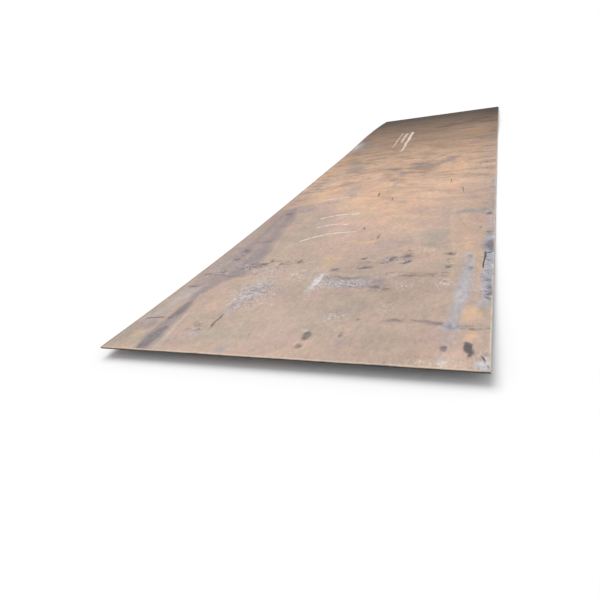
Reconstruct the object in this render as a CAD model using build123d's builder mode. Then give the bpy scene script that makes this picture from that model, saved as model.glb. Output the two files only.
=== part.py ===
"""Hot-rolled steel plate, as cut to length and lying unheld on a level floor.

The plate lies with its length along Y, its width along X and the floor at Z = 0.
It keeps the long wave of the real plate: the near end (-Y) is turned up, a flat run
lies on the floor, and the far end arches over a low hump back to the floor.
"""

import os
from math import degrees

from build123d import *

# Overall sizes
plate_width = 1500.0
plate_length = 6000.0
plate_thickness = 8.0

# Long wave of the underside, with lengths measured along the floor
near_curl_length = 1900.0
near_lift = 40.0
hump_length = 2350.0
hollow_length = 600.0
hollow_radius = 20000.0

# Sheared ends: a rolled-over top edge, an upright land, and a broken taper down to the underside
rollover_radius = 1.5
land_height = 2.0
break_inset = 0.7

# Rounding of the rolled long sides
mill_edge_radius = 2.5

# Places along the length, from the middle of the plate
near_edge = -plate_length / 2
far_edge = plate_length / 2
flat_start = near_edge + near_curl_length
flat_end = far_edge - hump_length

# What is left of the sheared face below its land
break_depth = plate_thickness - rollover_radius - land_height

with BuildPart() as steel_plate:
    with BuildSketch(Plane.YZ) as side_profile:
        # The underside is one smooth line, and the thickness follows it all the way
        with BuildLine() as underside:
            flat_run = Line((flat_start, 0), (flat_end, 0))
            TangentArc(flat_run @ 0, (near_edge, near_lift), tangent=-(flat_run % 0))
            hollow = JernArc(flat_run @ 1, flat_run % 1, hollow_radius, degrees(hollow_length / hollow_radius))
            TangentArc(hollow @ 1, (far_edge, 0), tangent=hollow % 1)
            offset(amount=plate_thickness, side=Side.LEFT)
        make_face()

        # First and last edges along the length are the two shear cuts
        for end in (0, -1):
            cut = edges().sort_by(Axis.X)[end]
            fillet(cut.vertices().sort_by(Axis.Y)[-1], radius=rollover_radius)
            land = edges().sort_by(Axis.X)[end]
            foot = land.vertices().sort_by(Axis.Y)[0]
            chamfer(foot, length=break_depth, length2=break_inset, reference=land)
    extrude(amount=plate_width / 2, both=True)

    # Rolled sides are rounded all along, and round the plate's corners too
    fillet(faces().filter_by(Axis.X).edges(), radius=mill_edge_radius)

steel_plate.part.label = "steel_plate"

os.makedirs("parts", exist_ok=True)
export_step(steel_plate.part, "parts/steel_plate.step")
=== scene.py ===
"""Looks of the steel plate: a rusted, gently wavy sheet of hot-rolled steel lying on a pale floor.

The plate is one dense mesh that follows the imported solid's own heights, with nicked edges and fine relief.
Its marks are painted as named fields, one number for each point of the mesh, and the material turns
each field into a colour and a finish. All is in metres in the frame: x across, y along, z up.
"""

from math import radians

import bpy
import numpy as np
from mathutils import Matrix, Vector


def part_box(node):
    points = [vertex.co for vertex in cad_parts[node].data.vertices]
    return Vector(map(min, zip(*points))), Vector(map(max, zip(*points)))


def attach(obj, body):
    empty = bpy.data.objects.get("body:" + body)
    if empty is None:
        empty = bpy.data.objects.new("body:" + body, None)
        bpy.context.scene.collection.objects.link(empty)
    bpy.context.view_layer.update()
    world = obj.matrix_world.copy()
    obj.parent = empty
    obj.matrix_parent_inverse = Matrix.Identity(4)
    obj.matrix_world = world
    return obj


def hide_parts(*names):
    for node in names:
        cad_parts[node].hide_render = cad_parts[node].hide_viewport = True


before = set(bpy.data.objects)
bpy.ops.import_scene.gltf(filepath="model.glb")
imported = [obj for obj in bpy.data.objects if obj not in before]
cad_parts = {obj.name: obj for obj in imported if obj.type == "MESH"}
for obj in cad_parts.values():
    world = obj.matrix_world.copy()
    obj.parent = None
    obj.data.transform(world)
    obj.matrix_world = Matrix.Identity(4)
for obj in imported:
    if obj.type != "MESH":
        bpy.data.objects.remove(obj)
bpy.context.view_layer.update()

NODE = "steel_plate"

# Edge sizes of the solid
THICKNESS = 0.008
MILL_RADIUS = 0.0025
ROLLOVER = 0.0015
LAND = 0.002
BREAK_INSET = 0.0007

# Divisions of the mesh: cells of one width across, and growing away from the near end
COLUMNS = 232
ROWS = 360
ROW_GROWTH = 4.3
COARSE = 8
EDGE_DEPTHS = (0.0004, 0.0012, 0.0025, 0.0042, 0.0058, 0.0071, THICKNESS)
EDGE_RUBBED = (1, 1, 0.6, 0, 0, 0, 0)
SHARP_ANGLE = 50

# Relief in layers of clouds, each (height, cell, seed, wide): ripples, rolling marks and pitted rust
RELIEF = ((0.0007, 0.55, 11, 1.6), (0.00018, 0.045, 12, 9), (0.00012, 0.02, 14))
EDGE_SCORES = ((0.00012, 0.009, 17),)
SCORE_SKEW = 1.3
SCORE_STEP = 9
UNDER_STEP = 0.0002

# Dips: depth, cell and seed of their cloud, the height in it where they start, and its rise to full depth
DENTS = (0.0006, 0.16, 13, 0.65, 0.25)
NICKS = (0.0022, 0.05, 16, 0.8, 0.2)

# Slow wander of the cut line: its reach, and the cell and seed of its cloud
CUT_REACH = 0.0005
CUT_CLOUD = (0.21, 15)
CUT_SKEW = 1.7

# Marks are placed across from the middle and along from the near edge, in millimetres, and broad hills
# in centimetres. The strengths of both are in hundredths.
MM = 1000
CM = 100
PERCENT = 100

# Wander of the marks in layers of clouds: fine for all, and broad for hills, in full from this half width up
FINE_X = ((0.007, 0.07, 21), (0.004, 0.022, 22))
FINE_Y = ((0.013, 0.08, 23), (0.006, 0.03, 24))
BROAD_X = ((0.04, 0.25, 25), (0.018, 0.09, 26))
BROAD_Y = ((0.06, 0.28, 27), (0.024, 0.1, 28))
DRIFT_SIZE = 0.25

# Crosswise streaks in layers of clouds, near and far, the start and run of the far ones, and the rises of
# their strength as (height, start, run)
STREAK_BEND = ((0.1, 0.45, 31), (0.04, 0.16, 32))
NEAR_STREAKS = ((0.55, 0.1, 33, 2.2), (0.5, 0.045, 34, 2.6))
FAR_STREAKS = ((0.55, 0.22, 35, 1.3), (0.5, 0.11, 36, 1.5))
FAR_RISE = (3.2, 1.2)
STREAK_BASE = 0.15
STREAK_RISES = ((0.45, 2, 0.8), (-0.25, 3.4, 0.8))

# Light rim beside the right and near edges, partly wear and partly a painted highlight, which scale keeps
# off, and the dim strip beside the left edge
RIM_WIDTH, RIM_SOFT = 0.006, 0.003
RIM_KEPT_OFF = 0.9
DIM_WIDTH, DIM_SOFT = 0.01, 0.008

# Map for baking: gaps between its parts, and the width of the edges' and the underside's strips
MAP_GAP = 0.004
MAP_STRIP = 0.05
MAP_QUARTERS = 4

# The photo's camera: its place, and its turns from looking straight down, as (degrees, axis)
CAMERA_PLACE = (0.7658, -4.2109, 0.9276)
CAMERA_TURNS = ((25.424, "Z"), (64.159, "X"), (-11.092, "Z"))
CAMERA_LENS = 28.331

# Light: a broad lamp from the far left and an even sky, which together light a level face fully
LAMP_SHARE = 0.45
SKY_SHARE = 0.6
LAMP_HEIGHT = 62
LAMP_TURN = 40
LAMP_SPREAD = 50
FLOOR_SIZE = 120
FLOOR_DROP = 0.0002
FLOOR_COLOUR = (0.97, 0.97, 0.97)

# Colours of the plate's surface
GREY_TAN = (0.438, 0.364, 0.308)
PINK_TAN = (0.545, 0.396, 0.322)
WARM_TAN = (0.695, 0.448, 0.3)
BROWN = (0.27, 0.19, 0.15)
KHAKI = (0.46, 0.4, 0.318)
MAUVE = (0.5, 0.36, 0.332)
VIOLET = (0.31, 0.266, 0.276)
SLATE = (0.135, 0.12, 0.128)
INK = (0.062, 0.056, 0.06)
BRUISE = (0.15, 0.125, 0.16)
SCALE_BLUE = (0.36, 0.385, 0.45)
SCALE_DARK = (0.15, 0.148, 0.168)
WASH = (0.475, 0.465, 0.5)
ORANGE = (0.69, 0.44, 0.27)
SAGE = (0.33, 0.292, 0.24)
HONEY = (0.61, 0.455, 0.31)
PEACH = (0.81, 0.565, 0.415)
PALE = (0.76, 0.735, 0.735)
# Light rim colour: partly worn steel, partly a painted highlight along the rounded edge
RIM_WEAR_AND_HIGHLIGHT = (0.7, 0.6, 0.51)
CHALK = (0.8, 0.735, 0.7)
# Painted shade: the colour that the far end of the top is darkened towards
PAINTED_FAR_SHADE = (0.088, 0.104, 0.122)
EDGE_DARK = (0.03, 0.026, 0.025)
EDGE_RUST = (0.105, 0.066, 0.045)
EDGE_LIGHT = (0.68, 0.55, 0.43)
UNDER_SCALE = (0.15, 0.15, 0.165)
UNDER_RUST = (0.33, 0.21, 0.14)


def smoothstep(value):
    """Eases a value from 0 to 1."""
    held = np.clip(value, 0, 1)
    return held * held * (3 - 2 * held)


def cloud(x, y, cell, seed, wide=1.0):
    """Smooth random heights from -1 to 1, with hills about one cell long and wide cells across."""
    size = 97
    table = np.random.default_rng(seed).uniform(-1, 1, (size, size))
    u = x / (cell * wide) + size / 2
    v = y / cell + size / 2
    i = np.floor(u).astype(int)
    j = np.floor(v).astype(int)
    fu = smoothstep(u - i)
    fv = smoothstep(v - j)
    low = table[i % size, j % size] * (1 - fu) + table[(i + 1) % size, j % size] * fu
    high = table[i % size, (j + 1) % size] * (1 - fu) + table[(i + 1) % size, (j + 1) % size] * fu
    return low * (1 - fv) + high * fv


def layered(x, y, layers):
    """The sum of clouds, each (height, cell, seed) and, where its hills are wide, how wide."""
    return sum(height * cloud(x, y, *shape) for height, *shape in layers)


def dips(x, y, depth, cell, seed, start, rise):
    """Separate dips, from 0 to depth, wherever a cloud rises above the start height."""
    return depth * smoothstep((cloud(x, y, cell, seed) - start) / rise)


# Shape of the plate


def facing_heights(side):
    """(places along, heights) of the solid's top, side 1, or underside, side -1."""
    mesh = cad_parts[NODE].data
    least_area = 0.01
    broad = [face for face in mesh.polygons if face.area > least_area and face.normal.z * side > 0]
    points = [mesh.vertices[i].co for face in broad for i in face.vertices]
    found = {round(point.y, 4): point.z for point in points}
    places = np.array(sorted(found))
    return places, np.array([found[p] for p in places])


def smooth_through(places, heights, wanted):
    """Heights at the wanted places, on a smooth line through the given ones that never overshoots."""
    secant = np.diff(heights) / np.diff(places)
    before, after = secant[:-1], secant[1:]
    same_way = before * after > 0
    total = np.where(same_way, before + after, 1)
    inner = np.where(same_way, 2 * before * after / total, 0)
    slope = np.concatenate(([secant[0]], inner, [secant[-1]]))
    i = np.clip(np.searchsorted(places, wanted) - 1, 0, len(places) - 2)
    step = places[i + 1] - places[i]
    t = (wanted - places[i]) / step
    rise = heights[i] * (1 + 2 * t) * (1 - t) ** 2 + heights[i + 1] * t * t * (3 - 2 * t)
    lean = slope[i] * t * (1 - t) ** 2 - slope[i + 1] * t * t * (1 - t)
    return rise + lean * step


def edge_reach(depth):
    """How far the rolled side and the sheared end stand out beyond the flat top at this depth."""
    from_face = min(depth, THICKNESS - depth, MILL_RADIUS)
    rolled = (MILL_RADIUS ** 2 - (MILL_RADIUS - from_face) ** 2) ** 0.5
    round_depth = min(depth, ROLLOVER)
    rounded = (ROLLOVER ** 2 - (ROLLOVER - round_depth) ** 2) ** 0.5
    land_end = ROLLOVER + LAND
    broken = max(0.0, depth - land_end) / (THICKNESS - land_end) * BREAK_INSET
    sheared = MILL_RADIUS - ROLLOVER + rounded - broken
    return rolled, sheared


def cell_outline(r, c, height, width):
    """Rows and columns round a block of cells, anticlockwise from its near left corner."""
    near = [(r, k) for k in range(c, c + width)]
    right = [(k, c + width) for k in range(r, r + height)]
    far = [(r + height, k) for k in range(c + width, c, -1)]
    left = [(k, c) for k in range(r + height, r, -1)]
    return near + right + far + left


class Plate:
    """The plate's points and faces: a fine top, edge strips all round, and a coarser underside."""

    def __init__(self):
        low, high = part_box(NODE)
        t = np.linspace(0, 1, ROWS + 1)
        self.length = high.y - low.y
        run = self.length - 2 * MILL_RADIUS
        grown = (ROW_GROWTH ** t - 1) / (ROW_GROWTH - 1)
        self.row_places = low.y + MILL_RADIUS + run * grown
        self.column_places = np.linspace(low.x + MILL_RADIUS, high.x - MILL_RADIUS, COLUMNS + 1)
        self.half_width = high.x
        self.x, self.y = np.meshgrid(self.column_places, self.row_places)
        self.top_heights = smooth_through(*facing_heights(1), self.row_places)
        self.under_heights = smooth_through(*facing_heights(-1), self.row_places)
        self.border = cell_outline(0, 0, ROWS, COLUMNS)
        self.make_points()
        self.make_faces()

    def outline_wander(self, x, y):
        """How far the cut line wanders in from the ideal outline, with a few deeper nicks."""
        run = x + CUT_SKEW * y
        wave = CUT_REACH * (1 + cloud(run, 0 * run, *CUT_CLOUD))
        return wave + dips(run, 0 * run, *NICKS)

    def make_points(self):
        relief = layered(self.x, self.y, RELIEF) - dips(self.x, self.y, *DENTS)
        top = np.stack([self.x, self.y, self.top_heights[:, None] + relief], -1)
        rows, columns = np.array(self.border).T
        out_x = (columns == COLUMNS).astype(float) - (columns == 0)
        out_y = (rows == ROWS).astype(float) - (rows == 0)
        rim = top[rows, columns]
        wander = self.outline_wander(rim[:, 0], rim[:, 1])
        rim[:, 0] -= out_x * wander
        rim[:, 1] -= out_y * wander
        top[rows, columns] = rim
        points = [top.reshape(-1, 3)]
        for depth in EDGE_DEPTHS:
            rolled, sheared = edge_reach(depth)
            ring = rim.copy()
            score = layered(rim[:, 0], rim[:, 1] * SCORE_SKEW + depth * SCORE_STEP, EDGE_SCORES)
            ring[:, 0] += out_x * (rolled + score)
            ring[:, 1] += out_y * (sheared + score)
            ring[:, 2] += (self.under_heights[rows] - rim[:, 2]) * (depth / THICKNESS)
            points.append(ring)
        under = [(self.column_places[c], self.row_places[r], self.under_heights[r] + UNDER_STEP * (c * r % 3))
                 for r in range(COARSE, ROWS, COARSE) for c in range(COARSE, COLUMNS, COARSE)]
        points.append(np.array(under))
        self.points = np.concatenate(points)

    def make_faces(self):
        wide = COLUMNS + 1
        start = np.arange(ROWS)[:, None] * wide + np.arange(COLUMNS)[None, :]
        self.top_faces = np.stack([start, start + 1, start + 1 + wide, start + wide], -1).reshape(-1, 4)
        ring = len(self.border)
        first_ring = (ROWS + 1) * wide
        rings = [np.array([r * wide + c for r, c in self.border])]
        rings += [first_ring + level * ring + np.arange(ring) for level in range(len(EDGE_DEPTHS))]
        strips = [np.stack([upper, lower, np.roll(lower, -1), np.roll(upper, -1)], -1)
                  for upper, lower in zip(rings, rings[1:])]
        self.edge_faces = np.concatenate(strips)
        first_inner = first_ring + ring * len(EDGE_DEPTHS)
        self.under_faces = self.coarse_faces(dict(zip(self.border, rings[-1])), first_inner)

    def coarse_faces(self, on_border, first_inner):
        """Faces of the underside, whose outer cells meet every point of the last edge ring."""
        inner_columns = COLUMNS // COARSE - 1

        def point(r, c):
            if (r, c) in on_border:
                return int(on_border[r, c])
            return first_inner + (r // COARSE - 1) * inner_columns + c // COARSE - 1

        faces = []
        for r in range(0, ROWS, COARSE):
            for c in range(0, COLUMNS, COARSE):
                kept = [p for p in cell_outline(r, c, COARSE, COARSE)
                        if p in on_border or (p[0] % COARSE == 0 and p[1] % COARSE == 0)]
                faces.append([point(*p) for p in reversed(kept)])
        return faces


plate = Plate()

# Marks of the top, painted as fields. Each place wanders a little first, so that no outline is too clean.

px, py = plate.x.ravel(), plate.y.ravel()
from_near = py + plate.length / 2
wander_x = px + layered(px, py, FINE_X)
wander_y = from_near + layered(px, py, FINE_Y)
drift_x = layered(px, py, BROAD_X)
drift_y = layered(px, py, BROAD_Y)


def beyond_line(points):
    """How far each point lies outside a line of (x, y, half width) points."""
    nearest = np.full(len(px), np.inf)
    line = np.array(points) / MM
    for (x0, y0, w0), (x1, y1, w1) in zip(line, line[1:]):
        dx, dy = x1 - x0, y1 - y0
        t = np.clip(((wander_x - x0) * dx + (wander_y - y0) * dy) / (dx * dx + dy * dy), 0, 1)
        away = np.hypot(wander_x - x0 - t * dx, wander_y - y0 - t * dy)
        nearest = np.minimum(nearest, away - w0 - t * (w1 - w0))
    return nearest


def beyond_oval(x, y, half_x, half_y, lean=0.0):
    """About how far each point lies outside an oval, which leans by lean across for each metre along."""
    x, y, half_x, half_y = np.array([x, y, half_x, half_y]) / MM
    u = (wander_x - x - lean * (wander_y - y)) / half_x
    v = (wander_y - y) / half_y
    return (np.hypot(u, v) - 1) * min(half_x, half_y)


def inked(beyond, soft):
    """1 inside a mark, 0 outside, easing over soft metres each side of its outline."""
    return smoothstep(0.5 - beyond / (2 * soft))


def painted(layers):
    """A field of marks, laid as ink over ink. Each layer is its marks and how soft their outlines are.

    A mark is its strength and then a line's points, or an oval's x, y, half_x, half_y and any lean.
    """
    field = np.zeros(len(px))
    for marks, soft in layers:
        for strength, *shape in marks:
            is_line = isinstance(shape[0], tuple)
            beyond = beyond_line(shape) if is_line else beyond_oval(*shape)
            field = 1 - (1 - field) * (1 - strength / PERCENT * inked(beyond, soft / MM))
    return field


def hills(rows):
    """The sum of soft ragged hills, each its strength, x, y, half_x and half_y."""
    total = np.zeros(len(px))
    for strength, *hill in rows:
        x, y, half_x, half_y = np.array(hill) / CM
        drift = min(1.0, half_x / DRIFT_SIZE)
        u = (wander_x + drift * drift_x - x) / half_x
        v = (wander_y + drift * drift_y - y) / half_y
        total += strength / PERCENT * np.exp(-2.0 * (u * u + v * v))
    return total


# Broad hue of the rust: above 0 warm and orange, below 0 grey
HUE_HILLS = (
    (50, 10, 185, 45, 60), (45, -15, 200, 20, 25), (75, -48, 230, 11, 30), (40, 47, 225, 10, 55),
    (30, 25, 125, 20, 30), (35, 45, 272, 14, 22), (35, -6, 238, 12, 22), (50, -17, 270, 9, 12),
    (45, -45, 276, 12, 8), (30, -20, 324, 18, 16), (30, 50, 292, 6, 12), (50, 56, 430, 10, 18),
    (45, 60, 120, 6, 45), (30, 68, 85, 3, 40), (80, 8, 117, 8, 4), (-30, 16, 102, 14, 10),
    (115, 66.5, 36, 4, 8), (90, 68.3, 21, 2.4, 5), (45, 66, 10, 10, 10), (35, 10, 10, 12, 10),
    (30, -11, 125, 10, 10), (-35, 8, 86, 13, 11), (35, -3, 95, 8, 20), (35, -46, 40, 9, 14),
    (35, 0, 2, 90, 5), (35, 45, 95, 10, 10), (-70, -35, 145, 20, 40), (-60, -45, 188, 16, 14),
    (-50, -70, 80, 12, 90), (-50, -70, 160, 10, 50), (-80, 46, 123, 12, 20), (-50, 48, 162, 7, 20),
    (-80, 62, 163, 14, 6), (-60, 72, 230, 6, 90), (-70, 70, 360, 8, 70), (-80, 67, 300, 6, 22),
    (-110, -44, 305, 10, 14), (-110, -50, 332, 8, 18), (-130, -64, 412, 14, 32), (-40, 25, 48, 20, 14),
    (-35, 15, 72, 16, 10), (-40, -27, 16, 14, 10), (-60, -9, 250, 3, 8), (-60, 17, 190, 5, 5),
    (-60, 3, 234, 3, 10), (-40, -68, 10, 10, 12), (-40, -50, 3, 10, 10),
)

# Broad lightness: below 0 darker, above 0 lighter
TONE_HILLS = (
    (-12, -66, 175, 16, 40), (-6, -70, 240, 10, 40), (-7, 0, 255, 60, 20), (-10, 68, 180, 12, 60),
    (-10, 35, 60, 30, 22), (-8, 40, 15, 26, 16), (-5, 43, 4, 16, 5), (7, -25, 14, 32, 16),
    (8, -46, 34, 6, 9), (-9, 8, 86, 13, 11), (-8, 48, 58, 9, 9), (-10, 70.5, 250, 5, 28),
    (-22, 68, 495, 12, 50), (-12, -70, 485, 12, 25), (-30, 70, 560, 26, 50), (-15, -70, 536, 8, 40),
    (-12, 68.5, 164, 5, 5), (-9, -64.5, 217, 6, 9), (-8, 37.5, 102, 6, 5), (12, 67.2, 36, 5, 8),
    (8, 68, 20, 3, 4), (-10, -10, 292, 45, 10), (8, -12, 160, 25, 50), (8, -20, 210, 20, 20),
    (8, 25, 130, 20, 25), (7, 0, 25, 30, 25), (4, 15, 155, 34, 50), (50, -70, 414, 13, 27),
    (15, 50, 450, 30, 25), (11, 65.5, 11.5, 7, 7), (10, 67.5, 28.3, 3, 3), (9, 11.5, 10.5, 6, 6),
    (8, -31.5, 42, 5, 6), (8, -4, 81.5, 5, 5), (9, -11, 125, 6, 8), (-10, -69.5, 8.3, 5, 5),
    (-9, -55.5, 173.5, 6, 8), (-9, -48, 107.7, 4, 8), (-9, -45, 75.2, 4, 4), (-9, 46, 75.2, 5, 4),
    (-9, 27.5, 91.5, 5, 5), (-9, 71.3, 39, 1.5, 5), (9, 68.5, 15.5, 3, 3), (9, 64, 9, 4, 3),
    (10, 67.5, 25.5, 3, 2), (8, -34.5, 26, 4, 4), (6, -68, 48, 6, 14), (9, -18.5, 163.2, 6, 6),
    (7, 32.5, 196.7, 6, 6), (-8, 8.5, 77.2, 6, 3), (-8, 52, 4.2, 6, 3), (-8, 42.5, 113, 5, 5),
    (-9, 68.5, 165.2, 4, 5), (-8, 27.8, 95.3, 4, 3),
)

# Pushes of the crosswise streaks towards orange, above 0, or brown, below 0
STREAK_HILLS = (
    (80, -7, 357, 12, 17), (70, -28, 317, 18, 14), (60, 12, 322, 14, 10), (80, 48, 423, 12, 13),
    (55, 65, 306, 10, 14), (35, 43, 359, 16, 26), (35, -38, 348, 8, 11), (30, 69, 348, 12, 12),
    (30, 67, 393, 11, 19), (25, 10, 345, 17, 20), (30, 32, 325, 14, 10), (20, 39, 261, 9, 18),
    (25, 32, 279, 9, 20), (25, 48, 329, 14, 28), (25, -50, 328, 8, 10), (25, 46, 292, 13, 12),
    (40, -44, 251, 12, 24), (45, -10, 271, 8, 10), (45, 34, 215, 12, 18), (50, -34, 205, 9, 12),
    (30, 52, 251, 11, 12), (45, 33, 199, 21, 16), (30, 16, 457, 10, 15), (-50, -61, 275, 12, 13),
    (-52, 14, 303, 15, 20), (-44, 21, 279, 13, 30), (-42, -45, 291, 13, 16), (-44, 25, 336, 8, 18),
    (-42, 17, 357, 10, 9), (-40, -26, 351, 6, 19), (-44, -36, 331, 7, 12), (-33, -68, 316, 6, 28),
    (-40, 6, 335, 5, 8), (-33, 3, 372, 10, 22), (-34, 48, 447, 8, 8), (-30, 55, 316, 5, 16),
    (-30, 4, 271, 16, 26), (-40, 71, 250, 6, 19), (-37, 63, 257, 9, 17), (-44, 66, 335, 8, 8),
    (-36, 71, 428, 5, 48), (-28, 27, 488, 7, 14), (-30, -64, 222, 7, 18), (-58, -58, 372, 21, 11),
    (-50, -58, 486, 13, 20), (-40, 54, 507, 15, 37), (-65, -56, 341, 12, 10), (-40, -66, 289, 12, 18),
    (-50, -37, 378, 16, 12), (-30, -65, 331, 9, 15),
)

# Dark violet-grey stain: the long band beside the left edge, and the patches farther off
VIOLET_LINES = (
    (34, (-660, 640, 50), (-670, 850, 80), (-680, 1150, 80), (-690, 1450, 60), (-700, 1900, 40)),
    (70, (-533, 0, 34), (-546, 50, 36), (-560, 120, 38), (-570, 200, 30), (-572, 280, 28), (-572, 350, 32),
     (-582, 420, 24), (-598, 500, 20), (-598, 580, 26)),
    (56, (-580, 520, 14), (-572, 600, 26), (-560, 700, 60), (-545, 800, 95), (-550, 980, 90),
     (-570, 1150, 80), (-590, 1350, 65), (-605, 1550, 60), (-620, 1720, 50), (-640, 1900, 45)),
    (52, (-530, 700, 12), (-490, 800, 54), (-490, 950, 54), (-512, 1170, 47), (-540, 1400, 40),
     (-560, 1650, 38), (-595, 1800, 30)),
    (40, (75, 2870, 30), (200, 2940, 50), (275, 2970, 40), (430, 3150, 20)),
    (30, (-500, 2950, 30), (-400, 3010, 40), (-240, 2990, 25), (-50, 2900, 30), (55, 2700, 20)),
)
VIOLET_PATCHES = (
    (35, -670, 200, 50, 50), (60, -665, 624, 36, 18), (50, 275, 920, 45, 50), (45, 360, 910, 25, 45),
    (35, 155, 880, 30, 30), (35, 385, 685, 60, 25), (30, 250, 1180, 100, 120), (34, 160, 645, 140, 55),
    (45, 285, 640, 35, 70), (30, -350, 2530, 90, 60), (40, -550, 1900, 100, 100), (35, -500, 1610, 50, 70),
    (30, -455, 760, 40, 30), (30, -380, 2000, 100, 50), (30, -280, 2280, 50, 140), (35, -240, 2140, 30, 90),
    (45, -640, 2730, 70, 20), (45, -625, 2500, 20, 50), (40, -680, 2350, 30, 40), (45, -670, 2130, 35, 30),
    (40, -690, 2030, 30, 30), (50, 190, 2950, 70, 100), (40, 385, 3100, 35, 90), (45, -70, 2915, 70, 45),
    (40, -150, 3080, 25, 25), (35, 45, 2670, 25, 50), (30, 160, 365, 50, 20), (45, 555, 286, 34, 14),
    (35, 430, 290, 26, 12), (30, 250, 100, 25, 60), (30, 610, 1900, 40, 70), (55, -720, 4500, 120, 50),
)

# Soft dark smudges, most of them in a row across the near part
SMUDGE_LINES = (
    (48, (-538, 0, 18), (-552, 50, 24), (-556, 110, 26), (-556, 170, 16)),
    (48, (-588, 270, 14), (-578, 310, 26), (-576, 360, 20), (-582, 430, 8)),
    (30, (405, 288, 10), (450, 292, 8)),
    (40, (-720, 755, 4), (-640, 760, 8), (-560, 735, 8), (-450, 730, 4)),
    (30, (370, 715, 10), (430, 728, 12), (510, 738, 8)), (30, (360, 280, 5), (410, 290, 8), (440, 288, 4)),
    (50, (475, 297, 4), (530, 290, 9), (580, 278, 7)), (30, (170, 870, 3), (240, 872, 5)),
    (30, (600, 265, 4), (680, 258, 6)), (35, (20, 805, 3), (80, 815, 5)),
    (25, (50, 700, 6), (120, 705, 10), (220, 710, 6)),
    (42, (20, 2750, 12), (140, 2700, 18), (250, 2670, 10)),
    (42, (300, 2600, 10), (380, 2560, 16), (460, 2550, 10)),
    (30, (-110, 2900, 12), (-20, 2920, 20), (70, 2890, 12)),
    (44, (70, 4760, 15), (170, 4780, 30), (270, 4850, 15)),
    (50, (300, 4840, 20), (460, 4920, 30), (580, 4870, 15)), (50, (560, 4790, 20), (720, 4760, 30)),
    (55, (500, 5030, 20), (620, 5060, 40), (680, 5050, 20)),
)
SMUDGE_PATCHES = (
    (50, -620, 1795, 30, 30), (30, -570, 1245, 60, 20), (40, -630, 1090, 16, 18), (45, -610, 965, 20, 18),
    (65, -680, 612, 32, 10), (62, -375, 935, 12, 22), (62, -400, 898, 20, 11, 0.8), (58, -300, 894, 14, 12),
    (70, -195, 915, 14, 26), (32, -390, 760, 12, 14), (32, -300, 830, 12, 12), (58, 145, 930, 12, 18, 0.4),
    (48, 165, 800, 20, 18, 0.6), (82, 30, 793, 19, 12, 0.6), (55, 247, 868, 10, 9),
    (55, 285, 920, 18, 38, 0.3), (48, 355, 950, 16, 26, 0.3), (85, 363, 878, 16, 15, 0.9),
    (48, 355, 1022, 13, 10), (35, 450, 970, 8, 18), (68, 555, 965, 19, 17), (68, 558, 803, 14, 13),
    (42, 555, 715, 18, 8), (65, 688, 255, 10, 8), (35, -405, 215, 18, 18), (40, 360, 440, 8, 10),
    (30, 285, 585, 30, 12), (30, 120, 700, 60, 10),
)

# Small dark marks with sharp outlines: bare slate-grey spots, ticks and scratches
SLATE_MARKS = (
    (100, 683, 118, 14, 34, -0.35), (100, 688, 82, 5, 16), (100, 669, 144, 6, 10), (72, 602, 128, 12, 20),
    (72, 113, 164, 15, 38), (65, 110, 80, 11, 17), (60, 237, 178, 5, 12), (55, -125, 154, 5, 6),
    (70, 268, 310, 4, 6), (75, 158, 600, 8, 9), (70, 430, 23, 4, 6), (75, 148, 1260, 6, 34),
    (55, 120, 1232, 6, 9), (60, -10, 2515, 30, 12), (65, 673, 2870, 10, 25), (50, 635, 2835, 8, 20),
    (45, 425, 2760, 12, 22), (60, 678, 1335, 9, 10), (70, 722, 1260, 15, 12), (70, 720, 1570, 17, 20),
    (45, 592, 1410, 4, 28), (60, -746, 80, 4, 45), (60, 730, 1075, 20, 55), (50, 732, 1005, 16, 22),
    (40, 738, 565, 12, 30), (35, 646, 940, 12, 20), (45, 655, 795, 9, 26),
    (90, (-333, 300, 4), (-331, 260, 6), (-328, 215, 4), (-326, 175, 1)),
    (75, (720, 595, 3), (736, 588, 8), (748, 585, 6)), (60, (733, 538, 4), (748, 534, 6)),
    (60, (700, 252, 2), (745, 262, 3)), (50, (228, 230, 1), (236, 190, 2)),
)

# Bare blue-grey mill scale, along the right edge and in worn streaks
SCALE_LINES = (
    (80, (730, 1220, 18), (724, 1100, 26), (728, 920, 22)),
    (75, (734, 980, 18), (732, 780, 20), (736, 640, 14), (736, 530, 18)),
    (35, (735, 1150, 20), (735, 1700, 20), (738, 2400, 15)),
)
SCALE_PATCHES = (
    (40, 635, 265, 36, 16), (60, 726, 22, 24, 14), (70, -190, 34, 22, 14), (65, 736, 50, 16, 40),
    (50, 705, 1615, 25, 18), (40, 620, 1630, 90, 30), (20, -670, 4180, 100, 280), (22, -375, 130, 20, 30),
    (30, -556, 95, 28, 40),
)

# Thin pale wash of the same scale, with soft edges
WASH_LINES = (
    (90, (640, 980, 12), (645, 800, 20), (641, 640, 28), (634, 500, 28), (620, 360, 18), (618, 260, 22)),
    (35, (615, 300, 20), (610, 160, 16), (604, 20, 10)),
    (80, (728, 1050, 14), (726, 800, 22), (722, 500, 26), (715, 430, 20)),
    (46, (-300, 620, 50), (-310, 500, 50), (-330, 320, 20)),
    (48, (20, 660, 20), (120, 640, 45), (240, 640, 30)),
    (60, (4, 740, 8), (-4, 670, 22), (-20, 590, 18), (-26, 520, 4)),
    (38, (-690, 560, 20), (-650, 550, 40), (-660, 400, 20), (-690, 240, 25)),
)

# Grey-green bloom
SAGE_PATCHES = (
    (50, -460, 3030, 60, 130), (30, -400, 3120, 40, 100, -0.2), (38, -510, 3300, 50, 120),
    (30, -380, 3330, 40, 80), (42, -110, 2510, 20, 60), (35, 170, 1900, 30, 35), (30, 30, 2690, 35, 70),
    (25, -580, 4120, 70, 180), (25, 660, 3360, 50, 60),
)

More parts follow.
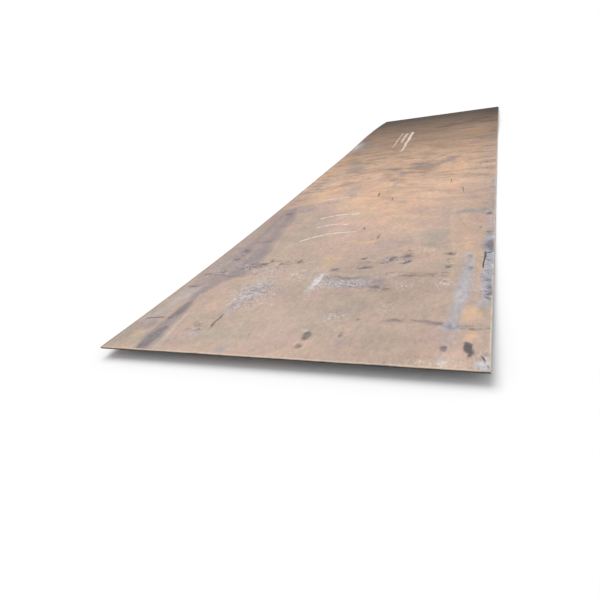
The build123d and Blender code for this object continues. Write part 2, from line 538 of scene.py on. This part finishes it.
# Fresh orange rust
ORANGE_PATCHES = (
    (42, 674, 360, 38, 55), (50, 685, 210, 18, 35), (45, 600, 25, 80, 22), (45, 640, 1070, 20, 100),
    (35, -650, 130, 30, 30), (40, 420, 1020, 35, 30), (35, 555, 640, 30, 40), (45, -480, 2140, 30, 60),
    (35, 690, 750, 12, 300), (70, 530, 4280, 80, 100), (30, 80, 1170, 60, 22), (40, -600, 20, 90, 12),
)

# Honey-coloured lines and smears
HONEY_LINES = (
    (55, (515, 1750, 8), (535, 1400, 12), (570, 950, 10), (585, 700, 6)),
    (75, (583, 1620, 6), (595, 1380, 9), (630, 1080, 12), (655, 950, 6)),
    (60, (10, 1200, 10), (80, 1170, 25), (170, 1200, 16), (260, 1260, 8)),
    (45, (-60, 980, 30), (-20, 850, 30)), (35, (655, 370, 24), (690, 360, 24)),
    (40, (-640, 140, 20), (-660, 100, 12)), (40, (350, 1000, 15), (470, 1030, 20), (520, 1010, 10)),
)

# Light rust on ridges
PEACH_LINES = (
    (75, (420, 3370, 10), (340, 3240, 16), (260, 3120, 12)),
    (60, (520, 3450, 16), (580, 3480, 24), (650, 3530, 12)), (50, (-140, 3600, 12), (-70, 3570, 22)),
    (50, (-50, 3210, 12), (40, 3200, 22), (110, 3240, 12)),
    (45, (480, 2980, 10), (510, 2880, 14), (530, 2800, 10)),
)

# Paint left in three plain bars towards the far end
PAINT_LINES = (
    (80, (-272, 3920, 5), (-282, 4640, 6)), (95, (-138, 3680, 7), (-150, 4100, 12), (-165, 4640, 15)),
    (70, (-215, 4100, 10), (-222, 4600, 12)),
)

# Thin strokes of chalk, and pale and dark scratches: strength, number of bends, from x, y, to x, y,
# the bends' height and the line's half width
CHALK_STROKES = (
    (100, 1, -330, 1220, 0, 1360, 50, 5), (100, 1, -300, 1455, -90, 1500, 40, 5),
    (100, 1, -340, 1640, -60, 1710, 35, 5), (80, 1, -500, 2070, -250, 2140, 10, 6),
)
PALE_STROKES = ((28, 1, -525, 320, -485, 0, 2, 2.5), (22, 1, -508, 200, -468, 0, 2, 2))
DARK_STROKES = (
    (75, 1, 703, 112, 712, 98, 1, 3), (85, 1, 719, 90, 734, 42, 2, 2),
    (70, 1, 737, 42, 743, 12, 1, 1.5), (60, 1, -722, 254, -612, 273, 4, 4),
    (90, 2, 706, 785, 712, 995, 2, 2.2), (90, 1, 709, 965, 748, 982, 2, 5),
    (60, 1, 712, 910, 712, 1000, 2, 3.5), (70, 1, -50, 2200, -34, 2080, 4, 3.5),
    (70, 1, 24, 1440, 31, 1380, 0, 3), (60, 1, 79, 2040, 91, 1950, 0, 3),
    (50, 1, 533, 2180, 546, 2050, 4, 3), (50, 1, 438, 2430, 447, 2300, 4, 3),
    (45, 3, 178, 2170, 228, 2154, 20, 3),
)

# Regions where the rust is flecked with pale specks
SPECKLE_PATCHES = (
    (90, -10, 640, 30, 90), (55, -290, 520, 130, 170), (45, -310, 500, 60, 100), (75, 120, 640, 90, 55),
    (85, 395, 615, 40, 50), (75, 555, 635, 32, 45), (80, 175, 310, 45, 35), (60, 620, 25, 100, 30),
    (55, -100, 720, 100, 80), (50, 360, 380, 30, 50), (45, 420, 1030, 60, 40), (55, -330, 780, 120, 70),
    (22, -620, 850, 80, 90), (45, 730, 60, 20, 50),
)

# Bands that are busy with small bruise-coloured flecks
BUSY_LINES = (
    (85, (-730, 730, 20), (-620, 765, 35), (-500, 830, 50), (-380, 900, 45), (-280, 910, 25),
     (-170, 920, 15)), (60, (-680, 870, 30), (-620, 1000, 35), (-620, 1120, 30)),
    (40, (30, 660, 40), (150, 630, 50), (290, 600, 45)),
    (70, (270, 740, 15), (400, 725, 22), (520, 710, 12)),
    (60, (555, 1000, 20), (555, 800, 20), (560, 580, 20)),
    (50, (-350, 580, 50), (-250, 550, 60), (-320, 380, 30)),
    (80, (725, 1150, 24), (728, 800, 24), (728, 500, 20)),
    (50, (420, 290, 15), (620, 270, 15), (730, 260, 15)),
    (45, (-700, 2200, 30), (-620, 2550, 60), (-500, 2850, 70)),
)
BUSY_PATCHES = (
    (85, 35, 795, 35, 25), (85, 165, 810, 40, 35), (70, 150, 925, 30, 25), (95, 285, 915, 35, 55),
    (95, 352, 920, 30, 60), (80, 555, 965, 30, 25), (80, 556, 800, 25, 25), (60, 80, 710, 80, 20),
    (70, 295, 580, 40, 25), (55, -400, 200, 40, 60),
)

# Pale scuffs and scratches
PALE_LINES = (
    (62, (-14, 745, 8), (-24, 680, 20), (-28, 630, 12)), (55, (-26, 620, 14), (-36, 540, 6)),
    (45, (300, 680, 3), (315, 735, 4), (335, 750, 2)), (35, (-190, 440, 2), (-170, 415, 3), (-140, 410, 2)),
)
PALE_PATCHES = (
    (25, -385, 135, 8, 18), (55, 736, 50, 12, 30), (45, 715, 38, 12, 14), (50, 700, 1620, 20, 10),
    (40, 0, 2530, 18, 10), (26, -730, 4300, 24, 190), (22, -705, 4200, 38, 110, 0.12),
    (20, -725, 4070, 28, 120), (26, -705, 3950, 40, 70, -0.15), (20, -720, 3880, 26, 90),
    (12, 634, 520, 18, 60), (30, 620, 35, 30, 20), (35, 90, 210, 14, 14),
)

# Along the plate, in metres: (place, share) of the painted shade on the far end and of the wisps, and (place,
# hue) of the rust
PAINTED_SHADE_STEPS = ((2.6, 0), (3, 0.127), (3.5, 0.29), (4, 0.47), (4.4, 0.56), (4.75, 0.695),
             (5, 0.737), (5.4, 0.86), (5.7, 0.92), (6, 0.97))
WISP_STEPS = ((1.1, 0), (1.8, 0.25), (2.5, 0.85), (3.2, 1), (3.6, 0.85), (4.2, 0.55), (6, 0.4))
HUE_STEPS = ((0, -0.4), (0.8, -0.3), (1.8, 0.22), (2.6, 0.5), (3.3, 0.85), (5, 0.9), (6, 0.6))

# Marks of each painted field, with how soft their outlines are
PAINTED = {
    "violet": ((VIOLET_LINES, 13), (VIOLET_PATCHES, 14)),
    "slate": ((SMUDGE_LINES, 8), (SMUDGE_PATCHES, 6), (SLATE_MARKS, 4)),
    "scale": ((SCALE_LINES, 10), (SCALE_PATCHES, 14)),
    "wash": ((WASH_LINES, 22),),
    "orange": ((ORANGE_PATCHES, 20),),
    "honey": ((HONEY_LINES, 14),),
    "peach": ((PEACH_LINES, 12),),
    "sage": ((SAGE_PATCHES, 30),),
    "paint": ((PAINT_LINES, 4),),
    "speckle": ((SPECKLE_PATCHES, 30),),
    "busy": ((BUSY_LINES, 25), (BUSY_PATCHES, 20)),
    "pale": ((PALE_LINES, 5), (PALE_PATCHES, 6)),
}


def along(steps):
    """Values along the plate, straight between (place, value) steps, with a broad wander."""
    return np.interp(from_near + drift_y, *zip(*steps))


def rise(start, run):
    """Eases from 0 to 1 along the plate, over a run of metres from its start."""
    return smoothstep((from_near - start) / run)


def crosswise_streaks():
    """Blotches and short wavy streaks, stronger past the near part and broader towards the far end."""
    bent = py + layered(px, py, STREAK_BEND)
    far_share = rise(*FAR_RISE)
    strength = STREAK_BASE + sum(height * rise(start, run) for height, start, run in STREAK_RISES)
    near_part = layered(px, bent, NEAR_STREAKS)
    far_part = layered(px, bent, FAR_STREAKS)
    return strength * (near_part * (1 - far_share) + far_part * far_share)


def all_fields():
    """All fields of the top by name."""
    # The far field is painted shade, which darkens the far end of the top
    fields = {"hue": hills(HUE_HILLS) + along(HUE_STEPS), "tone": hills(TONE_HILLS), "far": along(PAINTED_SHADE_STEPS),
              "streak": crosswise_streaks() + hills(STREAK_HILLS), "wispy": along(WISP_STEPS)}
    for name, layers in PAINTED.items():
        fields[name] = painted(layers)
    from_right = plate.half_width - px
    from_left = plate.half_width + px
    # The rim is partly wear and partly a painted highlight along the rounded edge
    rim = inked(np.minimum(from_right, from_near) - RIM_WIDTH, RIM_SOFT)
    fields["rim"] = rim * (1 - RIM_KEPT_OFF * fields["scale"])
    fields["dim"] = inked(from_left - DIM_WIDTH, DIM_SOFT)
    return fields


# Materials

# Low, middle and high of a noise
LOW, MIDDLE, HIGH = 0.25, 0.5, 0.75

# Noises of the top: hills to the metre, detail, and any stretch, turn in degrees and distortion
FACE_NOISES = {
    "broad": (1.6, 4, (1, 1, 1), 0, 0.4),
    "blotch": (9, 4, (0.8, 1, 1)),
    "brushed": (26, 4, (1, 0.22, 1)),
    "tint": (5, 3, (0.9, 1, 1)),
    "flake": (75, 3, (0.6, 1, 1)),
    "mottle": (42, 4, (1.2, 0.75, 1)),
    "grain": (140, 2, (1, 0.4, 1)),
    "grit": (46, 3, (1.3, 0.7, 1)),
    "wisp": (13, 3, (0.5, 1, 1)),
    "wrinkle": (2.3, 5, (0.55, 1, 1)),
    "fold": (2, 5, (0.55, 1, 1), 8),
    "fleck": (115, 2, (1, 0.6, 1)),
    "crackle": (34, 3, (1, 0.6, 1)),
    "bruise": (24, 3, (0.65, 1.2, 1)),
    "crease": (15, 4, (0.8, 1, 1)),
}

# How far each noise moves the hue, and how far the tone, up and down
HUE_REACH = {"broad": 1.1, "blotch": 0.8, "brushed": 0.12, "mottle": 0.3}
TONE_REACH = {"grain": 0.05, "grit": 0.05, "blotch": 0.05, "brushed": 0.02}
MOTTLE_TONE = 0.06
MOTTLE_STREAK = 0.5

# Colours that a guide brings in, over the grey tan: (guide, from, to, most, colour)
RUST_COLOURS = (
    ("hue", -1, 0.1, 1, PINK_TAN),
    ("hue", -0.1, 1.1, 1, WARM_TAN),
    ("tint", 0.5, 0.6, 0.28, KHAKI),
    ("tint", 0.48, 0.4, 0.32, MAUVE),
    ("streak", 0.08, 0.8, 0.6, PEACH),
    ("streak", -0.08, -0.8, 0.6, BROWN),
)

# Thin lines along the contours of a noise: (noise, level, edge, core, most, field, colour)
WRINKLES = (
    ("wrinkle", 0.5, 0.04, 0.008, 0.38, "wispy", BROWN),
    ("fold", 0.5, 0.04, 0.008, 0.38, "wispy", PEACH),
)
CRACKS = (("crackle", 0.5, 0.03, 0.006, 0.55, "speckle", VIOLET),)
CREASES = (
    ("crease", 0.5, 0.022, 0.006, 0.75, "busy", BRUISE),
    ("crease", 0.46, 0.022, 0.006, 0.45, "busy", PALE),
)

# Spots where a noise is high: (noise, from, to, most, field, colour)
FLECKS = ("fleck", 0.52, 0.6, 0.75, "speckle", PALE)
BRUISES = ("bruise", 0.53, 0.63, 0.75, "busy", BRUISE)

# Painted fields, each over the last: (field, noise that breaks it up, reach, most, colour)
STAINS = (
    ("orange", "mottle", 1, 1, ORANGE),
    ("honey", "mottle", 1, 1, HONEY),
    ("peach", "mottle", 1, 1, PEACH),
    ("sage", "blotch", 1, 1, SAGE),
    ("violet", "brushed", 0.8, 1, VIOLET),
)
SCUFFS = (("pale", "mottle", 1.6, 0.85, PALE),)
SPOTS = (("slate", "broken", 1.9, 1, SLATE),)
# The rim border is partly wear and partly a painted highlight
BORDERS = (("rim", "mottle", 0.5, 0.8, RIM_WEAR_AND_HIGHLIGHT), ("dim", "mottle", 0.8, 0.6, BROWN))

# Scale and its thin wash: how a noise changes their colour, as (from, to, low, most), and how they break up
WASH_BLUE = (0.6, 0.4, 0, 0.4)
WASH_BREAK = (1.3, 0.85)
DARK_SCALE = (0.62, 0.36, 0, 0.6)
PALE_SCALE = (0.52, 0.72, 0, 0.5)
SCALE_BREAK = 1.2

# Chalk and paint: how the mottle wears the chalk, how the paint breaks up, and how well both cover
CHALK_WEAR = (0.38, 0.5, 0.45, 1)
PAINT_BREAK = 1.2
CHALK_COVER = 0.85

# Finish: roughness over the mottle, how much smoother scale is, shine, and bumps as (strength, distance)
FACE_ROUGH = (0.3, 0.7, 0.62, 0.82)
SCALE_SMOOTHER = 0.22
FACE_SHINE = 0.04
FACE_BUMP = (0.28, 0.0008)
MOTTLE_HEIGHT = 0.7
GRAIN_HEIGHT = 0.3
BARE_SHINE = 0.3

# Edges and underside: their noises, as above, and how these bring in rust, wear and roughness
EDGE_PATCHES = (14, 4)
EDGE_GRAIN = (420, 2, (1, 1, 0.1))
EDGE_RUSTED = (0.45, 0.65)
EDGE_SCORED = (0.45, 0.75, 0, 0.5)
EDGE_WORN = (0.3, 0.55, 0.55, 0.95)
EDGE_ROUGH = (0.3, 0.7, 0.5, 0.75)
EDGE_BUMP = (0.3, 0.0004)
UNDER_BROAD = (2.2, 5, (1, 1, 1), 0, 0.6)
UNDER_MOTTLE = (40, 4)
UNDER_RUSTED = (0.42, 0.62)
UNDER_SCALED = (0.35, 0.7, 0, 0.4)
UNDER_ROUGH = (0.3, 0.7, 0.5, 0.8)
UNDER_BUMP = (0.3, 0.0006)

NOISE_ROUGHNESS = 0.55
STROKE_TAPER = 0.02


class Tree:
    """Short ways to add the nodes of a material or of the sky."""

    def __init__(self, owner):
        owner.use_nodes = True
        self.owner = owner
        self.nodes = owner.node_tree.nodes
        self.links = owner.node_tree.links

    def feed(self, socket, value):
        """Links a socket, or sets its plain value."""
        if isinstance(value, bpy.types.NodeSocket):
            self.links.new(value, socket)
        elif socket.type == "RGBA":
            socket.default_value = (*value, 1.0)
        else:
            socket.default_value = value

    def add(self, kind, inputs, **settings):
        """Outputs of a new node with these settings, its inputs fed by name or number."""
        node = self.nodes.new("ShaderNode" + kind)
        for name, value in settings.items():
            setattr(node, name, value)
        for key, value in inputs.items():
            self.feed(node.inputs[key], value)
        return node.outputs

    def math(self, operation, *values, clamp=False):
        return self.add("Math", dict(enumerate(values)), operation=operation, use_clamp=clamp)[0]

    def times(self, a, b):
        return self.math("MULTIPLY", a, b)

    def mix(self, share, a, b, blend="MIX"):
        """Colour b over colour a, by the node's colour sockets."""
        return self.add("Mix", {"Factor": share, 6: a, 7: b}, data_type="RGBA", blend_type=blend)[2]

    def place(self):
        """Each point's place in the object."""
        return self.add("TexCoord", {})["Object"]

    def field(self, name):
        return self.add("Attribute", {}, attribute_name=name)["Fac"]

    def noise(self, scale, detail, stretch=(1, 1, 1), turn=0.0, distortion=0.0):
        """Noise from about LOW to HIGH, with this many hills to the metre."""
        turned = (0, 0, radians(turn))
        mapping = self.add("Mapping", {"Vector": self.place(), "Scale": stretch, "Rotation": turned})
        shape = {"Vector": mapping["Vector"], "Scale": scale, "Detail": detail,
                 "Roughness": NOISE_ROUGHNESS, "Distortion": distortion}
        return self.add("TexNoise", shape)["Fac"]

    def ease(self, value, low, high, to_low=0.0, to_high=1.0):
        """Eases a value between two limits into a new range."""
        limits = {"Value": value, "From Min": low, "From Max": high, "To Min": to_low, "To Max": to_high}
        return self.add("MapRange", limits, interpolation_type="SMOOTHSTEP")["Result"]

    def swing(self, noise, reach):
        """A noise about 0, this many times as large."""
        return self.times(self.math("SUBTRACT", noise, MIDDLE), reach)

    def about_one(self, noise, reach):
        """A factor from 1 - reach to 1 + reach."""
        return self.ease(noise, LOW, HIGH, 1 - reach, 1 + reach)

    def ragged(self, name, noise, reach, most=1.0):
        """A field that noise breaks up wherever it is neither bare nor full."""
        field = self.field(name)
        partly = self.times(field, self.math("SUBTRACT", 1.0, field))
        broken = self.math("MULTIPLY_ADD", partly, self.swing(noise, 4 * reach), field, clamp=True)
        return self.times(broken, most)

    def bumped(self, height, strength, distance):
        """Gives the shader fine bumps."""
        bump = self.add("Bump", {"Height": height, "Strength": strength, "Distance": distance})
        self.feed(self.nodes["Principled BSDF"].inputs["Normal"], bump["Normal"])

    def surface(self, colour, rough, shine):
        """The material, with its shader fed."""
        inputs = self.nodes["Principled BSDF"].inputs
        self.feed(inputs["Base Color"], colour)
        self.feed(inputs["Roughness"], rough)
        self.feed(inputs["Specular IOR Level"], shine)
        return self.owner


def new_material(name):
    return Tree(bpy.data.materials.new(name))


def drawn(tree, strokes):
    """Share of the given thin strokes at each point."""
    part = tree.add("SeparateXYZ", {0: tree.place()})
    total = 0.0
    for strength, bends, *sizes in strokes:
        x0, y0, x1, y1, height, half_width = (size / MM for size in sizes)
        length = np.hypot(x1 - x0, y1 - y0)
        way_x, way_y = (x1 - x0) / length, (y1 - y0) / length
        from_x = tree.math("SUBTRACT", part["X"], x0)
        from_y = tree.math("SUBTRACT", part["Y"], y0 - plate.length / 2)
        ahead = tree.math("MULTIPLY_ADD", from_x, way_x, tree.times(from_y, way_y))
        aside = tree.math("MULTIPLY_ADD", from_y, way_x, tree.times(from_x, -way_y))
        wave = tree.math("SINE", tree.times(ahead, bends * np.pi / length))
        off = tree.math("ABSOLUTE", tree.math("MULTIPLY_ADD", wave, -height, aside))
        line = tree.ease(off, 2 * half_width, half_width, 0.0, strength / PERCENT)
        beyond = tree.math("ABSOLUTE", tree.math("SUBTRACT", ahead, length / 2))
        line = tree.times(line, tree.ease(beyond, length / 2, length / 2 - STROKE_TAPER))
        total = tree.math("MAXIMUM", line, total)
    return total


def stained(tree, colour, noises, stains):
    """Lays painted fields over a colour."""
    for name, noise, reach, most, tint in stains:
        colour = tree.mix(tree.ragged(name, noises[noise], reach, most), colour, tint)
    return colour


def lined(tree, colour, noises, lines):
    """Lays lines along the contours of noises over a colour."""
    for noise, level, edge, core, most, field, tint in lines:
        off = tree.math("ABSOLUTE", tree.math("SUBTRACT", noises[noise], level))
        line = tree.times(tree.ease(off, edge, core, 0.0, most), tree.field(field))
        colour = tree.mix(line, colour, tint)
    return colour


def spotted(tree, colour, noises, spots):
    """Lays spots of a noise over a colour."""
    noise, low, high, most, field, tint = spots
    share = tree.times(tree.field(field), tree.ease(noises[noise], low, high, 0.0, most))
    return tree.mix(share, colour, tint)


def rust(tree, noises):
    """Colour of the bare rust: broad hues, tints and crosswise streaks."""
    hue = tree.field("hue")
    for name, reach in HUE_REACH.items():
        hue = tree.math("ADD", hue, tree.swing(noises[name], reach))
    streak = tree.math("ADD", tree.field("streak"), tree.swing(noises["mottle"], MOTTLE_STREAK))
    wisp = tree.math("SUBTRACT", noises["wisp"], MIDDLE)
    streak = tree.math("MULTIPLY_ADD", wisp, tree.field("wispy"), streak)
    guides = {"hue": hue, "tint": noises["tint"], "streak": streak}
    colour = GREY_TAN
    for guide, low, high, most, tint in RUST_COLOURS:
        colour = tree.mix(tree.ease(guides[guide], low, high, 0.0, most), colour, tint)
    return colour


def scale_over(tree, colour, noises, scale):
    """Lays the thin wash and then the thick scale over a colour."""
    wash_colour = tree.mix(tree.ease(noises["brushed"], *WASH_BLUE), WASH, SCALE_BLUE)
    colour = tree.mix(tree.ragged("wash", noises["mottle"], *WASH_BREAK), colour, wash_colour)
    scale_colour = tree.mix(tree.ease(noises["blotch"], *DARK_SCALE), SCALE_BLUE, SCALE_DARK)
    scale_colour = tree.mix(tree.ease(noises["mottle"], *PALE_SCALE), scale_colour, PALE)
    return tree.mix(scale, colour, scale_colour)


def marked(tree, colour, noises):
    """Lays flecks, creases, scuffs, scratches and borders over a colour, the light rim partly a painted
    highlight.
    """
    colour = lined(tree, spotted(tree, colour, noises, FLECKS), noises, CRACKS)
    colour = lined(tree, spotted(tree, colour, noises, BRUISES), noises, CREASES)
    colour = stained(tree, colour, noises, SCUFFS)
    colour = tree.mix(drawn(tree, PALE_STROKES), colour, PALE)
    colour = stained(tree, colour, noises, SPOTS)
    colour = tree.mix(drawn(tree, DARK_STROKES), colour, INK)
    return stained(tree, colour, noises, BORDERS)


def shaded(tree, colour, noises):
    """Sets the tone of a colour, darkens it towards the far end with painted shade, and lays chalk and paint
    over it.
    """
    mottle = noises["mottle"]
    tone = tree.math("ADD", tree.field("tone"), tree.about_one(mottle, MOTTLE_TONE))
    for name, reach in TONE_REACH.items():
        tone = tree.times(tone, tree.about_one(noises[name], reach))
    toned = tree.mix(1.0, colour, tone, "MULTIPLY")
    # Painted shade: darkens the colour towards the far end by the far field
    painted_shade_dimmed = tree.mix(tree.field("far"), toned, PAINTED_FAR_SHADE, "MULTIPLY")
    chalk = tree.times(drawn(tree, CHALK_STROKES), tree.ease(mottle, *CHALK_WEAR))
    chalked = tree.math("MAXIMUM", tree.ragged("paint", mottle, PAINT_BREAK), chalk)
    return tree.mix(tree.times(chalked, CHALK_COVER), painted_shade_dimmed, CHALK)


def face_material():
    """Thin brown rust over mill scale, with the painted marks."""
    tree = new_material("weathered_face")
    noises = {name: tree.noise(*shape) for name, shape in FACE_NOISES.items()}
    mottle = noises["mottle"]
    noises["broken"] = tree.times(tree.math("ADD", mottle, noises["flake"]), 0.5)
    scale = tree.ragged("scale", mottle, SCALE_BREAK)

    colour = lined(tree, rust(tree, noises), noises, WRINKLES)
    colour = stained(tree, colour, noises, STAINS)
    colour = scale_over(tree, colour, noises, scale)
    colour = shaded(tree, marked(tree, colour, noises), noises)

    rough = tree.math("MULTIPLY_ADD", scale, -SCALE_SMOOTHER, tree.ease(mottle, *FACE_ROUGH))
    grain_height = tree.times(noises["grain"], GRAIN_HEIGHT)
    height = tree.math("MULTIPLY_ADD", mottle, MOTTLE_HEIGHT, grain_height)
    tree.bumped(height, *FACE_BUMP)
    return tree.surface(colour, rough, FACE_SHINE)


def edge_material():
    """The sheared ends and rolled sides: dark oxide with rust in streaks down the thickness."""
    tree = new_material("dark_edge")
    patches = tree.noise(*EDGE_PATCHES)
    scores = tree.noise(*EDGE_GRAIN)
    colour = tree.mix(tree.ease(patches, *EDGE_RUSTED), EDGE_DARK, EDGE_RUST)
    colour = tree.mix(tree.ease(scores, *EDGE_SCORED), colour, EDGE_DARK)
    worn = tree.ease(patches, *EDGE_WORN)
    colour = tree.mix(tree.times(tree.field("rubbed"), worn), colour, EDGE_LIGHT)
    rough = tree.ease(scores, *EDGE_ROUGH)
    tree.bumped(scores, *EDGE_BUMP)
    return tree.surface(colour, rough, BARE_SHINE)


def under_material():
    """The underside: dark mill scale, with rust where damp has crept in."""
    tree = new_material("scaled_underside")
    broad = tree.noise(*UNDER_BROAD)
    mottle = tree.noise(*UNDER_MOTTLE)
    colour = tree.mix(tree.ease(broad, *UNDER_RUSTED), UNDER_SCALE, UNDER_RUST)
    colour = tree.mix(tree.ease(mottle, *UNDER_SCALED), colour, UNDER_SCALE)
    rough = tree.ease(mottle, *UNDER_ROUGH)
    tree.bumped(mottle, *UNDER_BUMP)
    return tree.surface(colour, rough, BARE_SHINE)


# The plate as an object


def new_object(name, data):
    made = bpy.data.objects.new(name, data)
    bpy.context.scene.collection.objects.link(made)
    return made


def plate_shares(corner):
    """Shares of the plate's width and length at which corners lie."""
    return (corner[..., 0] / plate.half_width + 1) / 2, corner[..., 1] / plate.length + 0.5


def top_map():
    """Places in the map of the top's faces, in square quarters of the length."""
    side = (1 - MAP_STRIP - 4 * MAP_GAP) / 2
    across, ahead = plate_shares(plate.points[plate.top_faces])
    part = (MAP_QUARTERS * ahead.mean(-1, keepdims=True)).astype(int)
    ahead = np.clip(MAP_QUARTERS * ahead - part, -MAP_GAP, 1 + MAP_GAP)
    step = side + MAP_GAP
    return MAP_GAP + (part % 2) * step + side * across, MAP_GAP + (part // 2) * step + side * ahead


def edge_map():
    """Places in the map of the edge's faces, in one strip round the plate."""
    ring = len(plate.border)
    face = np.arange(len(plate.edge_faces))
    turn = (face % ring)[:, None] + np.array([0, 0, 1, 1])
    level = (face // ring)[:, None] + np.array([0, 1, 1, 0])
    u = 1 - MAP_STRIP + MAP_GAP + (MAP_STRIP - 2 * MAP_GAP) * level / len(EDGE_DEPTHS)
    return u, MAP_GAP + (1 - 2 * MAP_GAP) * turn / ring


def under_map():
    """Places in the map of the underside's faces, in one strip."""
    across, ahead = plate_shares(plate.points[np.concatenate(plate.under_faces)])
    u = MAP_GAP + (1 - MAP_STRIP - 2 * MAP_GAP) * ahead
    return u, 1 - MAP_STRIP + MAP_GAP + (MAP_STRIP - 2 * MAP_GAP) * across


def bake_places():
    """Places of all faces' corners in one map for baking."""
    parts = [np.stack(place, -1).reshape(-1, 2) for place in (top_map(), edge_map(), under_map())]
    return np.concatenate(parts).astype(np.float32)


def add_field(mesh, name, known):
    """Gives the mesh a field, which is 0 at the points after the known ones."""
    values = np.zeros(len(plate.points), np.float32)
    values[:len(known)] = known
    mesh.attributes.new(name, "FLOAT", "POINT").data.foreach_set("value", values)


def make_plate():
    mesh = bpy.data.meshes.new("plate_sheet")
    groups = (plate.top_faces.tolist(), plate.edge_faces.tolist(), plate.under_faces)
    mesh.from_pydata(plate.points.tolist(), [], sum(groups, []))
    mesh.uv_layers.new(name="OFBake").uv.foreach_set("vector", bake_places().ravel())
    for material in (face_material(), edge_material(), under_material()):
        mesh.materials.append(material)
    which = np.repeat([0, 1, 2], [len(group) for group in groups])
    mesh.polygons.foreach_set("material_index", which.astype(np.int32))
    mesh.shade_smooth()
    for name, field in all_fields().items():
        add_field(mesh, name, field)
    rubbed = np.repeat(EDGE_RUBBED, len(plate.border))
    add_field(mesh, "rubbed", np.concatenate([np.ones(len(px)), rubbed]))
    mesh.set_sharp_from_angle(angle=radians(SHARP_ANGLE))
    piece = new_object("plate_sheet", mesh)
    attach(piece, "root")
    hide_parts(NODE)


# Floor, light and camera


def make_floor():
    half = FLOOR_SIZE / 2
    mesh = bpy.data.meshes.new("floor")
    corners = [(-half, -half, 0), (half, -half, 0), (half, half, 0), (-half, half, 0)]
    mesh.from_pydata(corners, [], [(0, 1, 2, 3)])
    floor = new_object("floor", mesh)
    floor.location.z = -FLOOR_DROP
    mesh.materials.append(new_material("pale_floor").surface(FLOOR_COLOUR, rough=1.0, shine=0.0))


def make_sky():
    """An even sky, which looks white to the camera and in reflections."""
    world = bpy.data.worlds.new("studio")
    bpy.context.scene.world = world
    tree = Tree(world)
    ray = tree.add("LightPath", {})
    shown = tree.math("MAXIMUM", ray["Is Camera Ray"], ray["Is Glossy Ray"])
    background = tree.nodes["Background"].inputs
    tree.feed(background["Color"], (1, 1, 1))
    tree.feed(background["Strength"], tree.math("MAXIMUM", shown, SKY_SHARE))


def make_lamp():
    """A broad distant lamp whose light on a level face is LAMP_SHARE of full."""
    data = bpy.data.lights.new("soft_lamp", "SUN")
    data.angle = radians(LAMP_SPREAD)
    data.energy = LAMP_SHARE * np.pi / np.sin(radians(LAMP_HEIGHT))
    lamp = new_object("soft_lamp", data)
    lamp.rotation_euler = (radians(LAMP_HEIGHT - 90), 0, radians(LAMP_TURN))


def make_camera():
    data = bpy.data.cameras.new("camera")
    data.lens = CAMERA_LENS
    camera = new_object("camera", data)
    place = Matrix.Translation(CAMERA_PLACE)
    for angle, axis in CAMERA_TURNS:
        place @= Matrix.Rotation(radians(angle), 4, axis)
    camera.matrix_world = place
    bpy.context.scene.camera = camera


make_camera()
make_plate()
make_floor()
make_sky()
make_lamp()
bpy.context.scene.view_settings.view_transform = "Standard"
